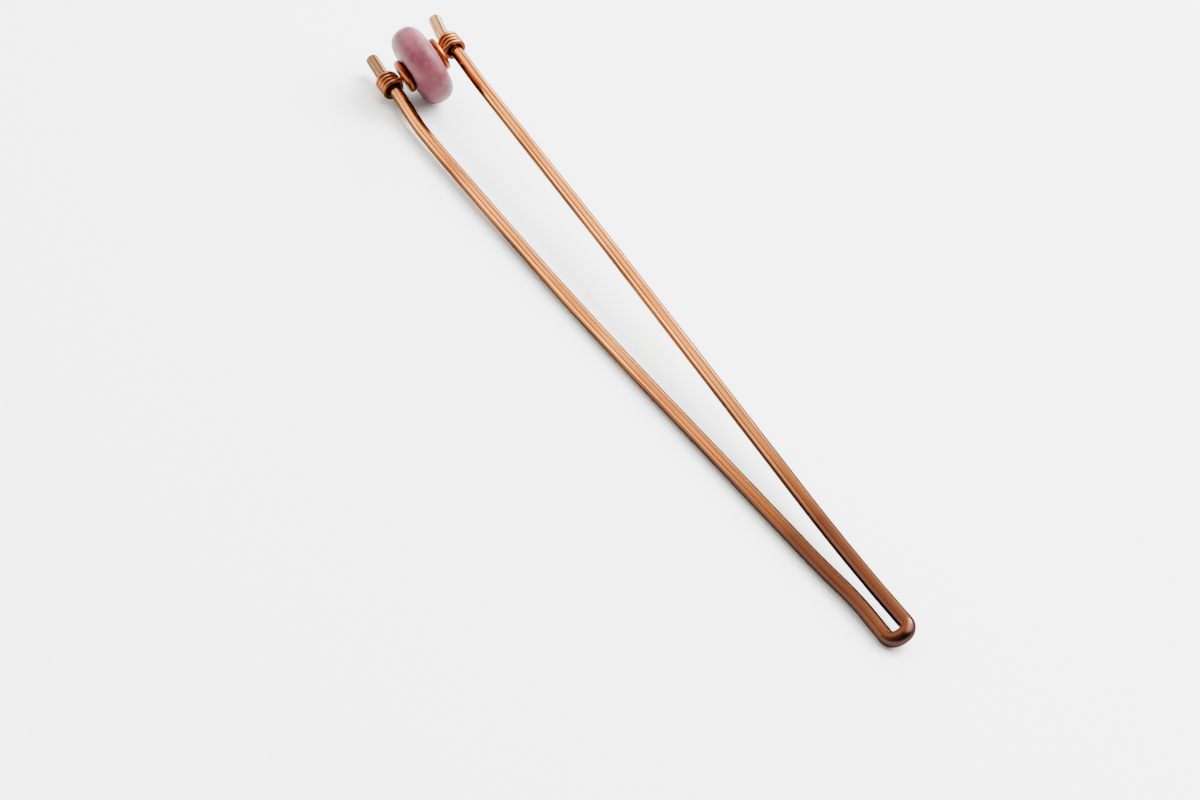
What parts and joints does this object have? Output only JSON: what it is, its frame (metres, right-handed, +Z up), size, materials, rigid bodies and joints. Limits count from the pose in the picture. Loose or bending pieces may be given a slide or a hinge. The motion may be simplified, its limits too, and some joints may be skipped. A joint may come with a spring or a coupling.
{
  "type": "hair stick",
  "caption": "Hair stick of heavy copper wire folded into a narrow fork, with a thick mauve disc bead and small spacers bound between its legs with thin wire.",
  "frame": {"origin": "middle of the footprint of the whole stick as it lies, on the table under it", "axes": "+Z up from the table, +Y along the stick from the fold to the bead and the leg ends, +X across it towards the raised leg"},
  "size_m": [0.0136, 0.147, 0.0122],
  "materials": {
    "heavy_copper": "bright bare copper wire with a soft drawn shine, browner at the fold",
    "bead_stone": "polished opaque mauve-pink with a soft shine",
    "spacer_copper": "polished copper, a little darker than the wire",
    "thin_copper": "bare copper wire with a warm orange shine"
  },
  "bodies": {
    "root": {"folded_wire": "heavy_copper", "bead": "bead_stone", "spacer_left": "spacer_copper", "spacer_right": "spacer_copper", "binding_wire": "thin_copper"}
  },
  "joints": []
}
